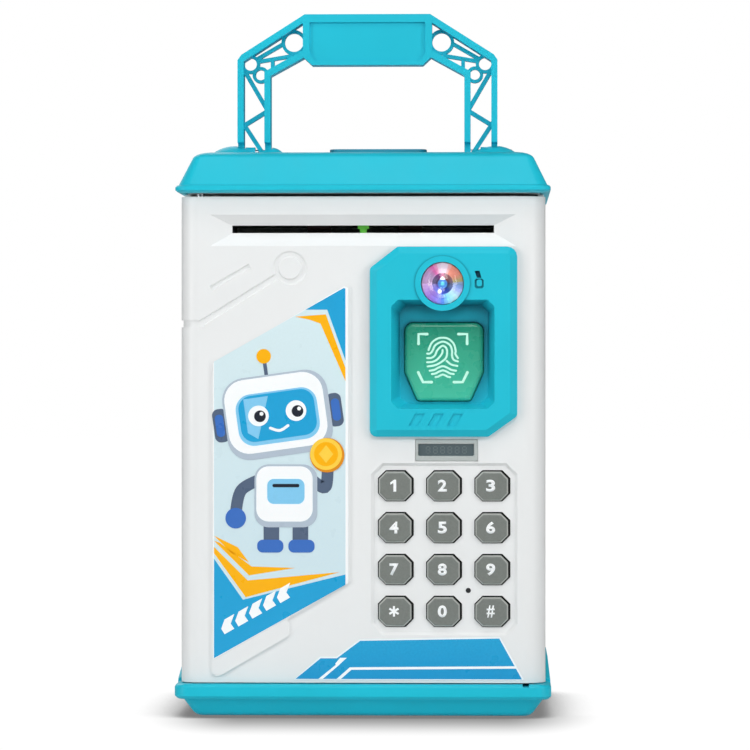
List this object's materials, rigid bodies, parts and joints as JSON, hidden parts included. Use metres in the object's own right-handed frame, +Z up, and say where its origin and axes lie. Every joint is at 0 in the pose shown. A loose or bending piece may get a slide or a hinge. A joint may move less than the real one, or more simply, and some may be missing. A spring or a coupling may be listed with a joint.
{
  "type": "toy money bank",
  "caption": "Toy cash-machine money bank: white box with a hinged keypad door, teal lid and base, powered note slot, coin slot and a folding lattice handle.",
  "frame": {"origin": "middle of the bank on the plane its foot pads stand on, centred on the rims of the base and the lid", "axes": "+Z up, the longest side; +Y from the keypad door to the back; +X to the right for someone who faces the door"},
  "size_m": [0.135, 0.1241, 0.2568],
  "materials": {
    "white_shell": "moulded, satin gloss",
    "teal_shell": "moulded, satin gloss",
    "teal_dark": "moulded, satin gloss",
    "foot_rubber": "matt",
    "steel": "bright zinc plate",
    "clear_lens": "clear, polished",
    "chrome": "vacuum-plated mirror",
    "lamp": "clear epoxy",
    "jade_button": "translucent, satin",
    "black_plastic": "matt",
    "smoke_window": "smoked, frosted",
    "display_glass": "polished",
    "sticker_front": "printed vinyl, satin",
    "sticker_corner": "printed vinyl, satin",
    "key_plastic": "moulded, satin",
    "silicone_mat": "matt silicone",
    "circuit_board": "solder mask, satin",
    "battery_wrap": "printed sleeve",
    "contact_metal": "nickel plate",
    "motor_metal": "zinc plate",
    "gear_plastic": "natural acetal",
    "roller_rubber": "matt",
    "lever_green": "matt"
  },
  "bodies": {
    "bank": {"base_tray": "teal_shell", "bottom_plate": "teal_dark", "base_screws": "steel", "foot_pads": "foot_rubber", "body_shell": "white_shell", "latch_keeper": "white_shell", "door_hinge_pins": "steel", "lid_cover": "teal_shell", "lid_screws": "steel", "coin_slot_insert": "teal_dark", "left_handle_socket": "teal_shell", "right_handle_socket": "teal_shell", "handle_pins": "steel"},
    "door": {"door_shell": "white_shell", "door_liner": "white_shell", "door_screws": "steel", "face_bezel": "teal_shell", "eye_lens": "clear_lens", "eye_reflector": "chrome", "eye_led": "lamp", "button_switch": "black_plastic", "display_window": "smoke_window", "display_module": "display_glass", "front_sticker": "sticker_front", "corner_sticker": "sticker_corner", "keypad_mat": "silicone_mat", "keypad_board": "circuit_board", "main_board": "circuit_board", "speaker": "black_plastic", "microphone": "steel", "battery_cells": "battery_wrap", "battery_contacts": "contact_metal", "battery_cover": "white_shell", "battery_cover_screw": "steel", "feeder_frame": "black_plastic", "feed_motor": "motor_metal", "latch_motor": "motor_metal"},
    "handle": {"handle_frame": "teal_shell"},
    "finger_button": {"finger_button": "jade_button"},
    "key_1": {"key_1": "key_plastic"},
    "key_2": {"key_2": "key_plastic"},
    "key_3": {"key_3": "key_plastic"},
    "key_4": {"key_4": "key_plastic"},
    "key_5": {"key_5": "key_plastic"},
    "key_6": {"key_6": "key_plastic"},
    "key_7": {"key_7": "key_plastic"},
    "key_8": {"key_8": "key_plastic"},
    "key_9": {"key_9": "key_plastic"},
    "key_star": {"key_star": "key_plastic"},
    "key_0": {"key_0": "key_plastic"},
    "key_hash": {"key_hash": "key_plastic"},
    "roller_shaft": {"feed_shaft": "steel", "feed_rollers": "roller_rubber", "feed_gear": "gear_plastic"},
    "pinion": {"motor_pinion": "gear_plastic"},
    "idler": {"idler_shaft": "steel", "idler_rollers": "roller_rubber"},
    "note_lever": {"note_lever": "lever_green"},
    "latch_lever": {"latch_lever": "gear_plastic"}
  },
  "joints": [
    {"name": "door_hinge", "type": "hinge", "parent": "bank", "child": "door", "pos_m": [-0.05875, -0.05075, 0.1], "axis": [0, 0, -1], "range_deg": [0, 110]},
    {"name": "handle_fold", "type": "hinge", "parent": "bank", "child": "handle", "pos_m": [0, 0, 0.20585], "axis": [-1, 0, 0], "range_deg": [0, 90]},
    {"name": "finger_press", "type": "slide", "parent": "door", "child": "finger_button", "axis": [0, 1, 0], "range_m": [0, 0.0012], "stiffness_N_per_m": 300, "springref_m": -0.0005},
    {"name": "key_1_press", "type": "slide", "parent": "door", "child": "key_1", "axis": [0, 1, 0], "range_m": [0, 0.001], "stiffness_N_per_m": 150, "springref_m": -0.0005},
    {"name": "key_2_press", "type": "slide", "parent": "door", "child": "key_2", "axis": [0, 1, 0], "range_m": [0, 0.001], "stiffness_N_per_m": 150, "springref_m": -0.0005},
    {"name": "key_3_press", "type": "slide", "parent": "door", "child": "key_3", "axis": [0, 1, 0], "range_m": [0, 0.001], "stiffness_N_per_m": 150, "springref_m": -0.0005},
    {"name": "key_4_press", "type": "slide", "parent": "door", "child": "key_4", "axis": [0, 1, 0], "range_m": [0, 0.001], "stiffness_N_per_m": 150, "springref_m": -0.0005},
    {"name": "key_5_press", "type": "slide", "parent": "door", "child": "key_5", "axis": [0, 1, 0], "range_m": [0, 0.001], "stiffness_N_per_m": 150, "springref_m": -0.0005},
    {"name": "key_6_press", "type": "slide", "parent": "door", "child": "key_6", "axis": [0, 1, 0], "range_m": [0, 0.001], "stiffness_N_per_m": 150, "springref_m": -0.0005},
    {"name": "key_7_press", "type": "slide", "parent": "door", "child": "key_7", "axis": [0, 1, 0], "range_m": [0, 0.001], "stiffness_N_per_m": 150, "springref_m": -0.0005},
    {"name": "key_8_press", "type": "slide", "parent": "door", "child": "key_8", "axis": [0, 1, 0], "range_m": [0, 0.001], "stiffness_N_per_m": 150, "springref_m": -0.0005},
    {"name": "key_9_press", "type": "slide", "parent": "door", "child": "key_9", "axis": [0, 1, 0], "range_m": [0, 0.001], "stiffness_N_per_m": 150, "springref_m": -0.0005},
    {"name": "key_star_press", "type": "slide", "parent": "door", "child": "key_star", "axis": [0, 1, 0], "range_m": [0, 0.001], "stiffness_N_per_m": 150, "springref_m": -0.0005},
    {"name": "key_0_press", "type": "slide", "parent": "door", "child": "key_0", "axis": [0, 1, 0], "range_m": [0, 0.001], "stiffness_N_per_m": 150, "springref_m": -0.0005},
    {"name": "key_hash_press", "type": "slide", "parent": "door", "child": "key_hash", "axis": [0, 1, 0], "range_m": [0, 0.001], "stiffness_N_per_m": 150, "springref_m": -0.0005},
    {"name": "roller_shaft_spin", "type": "hinge", "parent": "door", "child": "roller_shaft", "pos_m": [0, -0.038, 0.1684], "axis": [1, 0, 0], "continuous": true},
    {"name": "pinion_spin", "type": "hinge", "parent": "door", "child": "pinion", "pos_m": [0.045, -0.029, 0.15768], "axis": [1, 0, 0], "continuous": true},
    {"name": "idler_spin", "type": "hinge", "parent": "door", "child": "idler", "pos_m": [0, -0.038, 0.1789], "axis": [1, 0, 0], "continuous": true},
    {"name": "note_lever_swing", "type": "hinge", "parent": "door", "child": "note_lever", "pos_m": [0, -0.05, 0.181], "axis": [1, 0, 0], "range_deg": [0, 35]},
    {"name": "latch_turn", "type": "hinge", "parent": "door", "child": "latch_lever", "pos_m": [0.053, -0.04, 0.104], "axis": [0, -1, 0], "range_deg": [0, 90]}
  ],
  "couplings": [
    {"joint": "pinion_spin", "follows": "roller_shaft_spin", "ratio": -3},
    {"joint": "idler_spin", "follows": "roller_shaft_spin", "ratio": -1.8333}
  ]
}
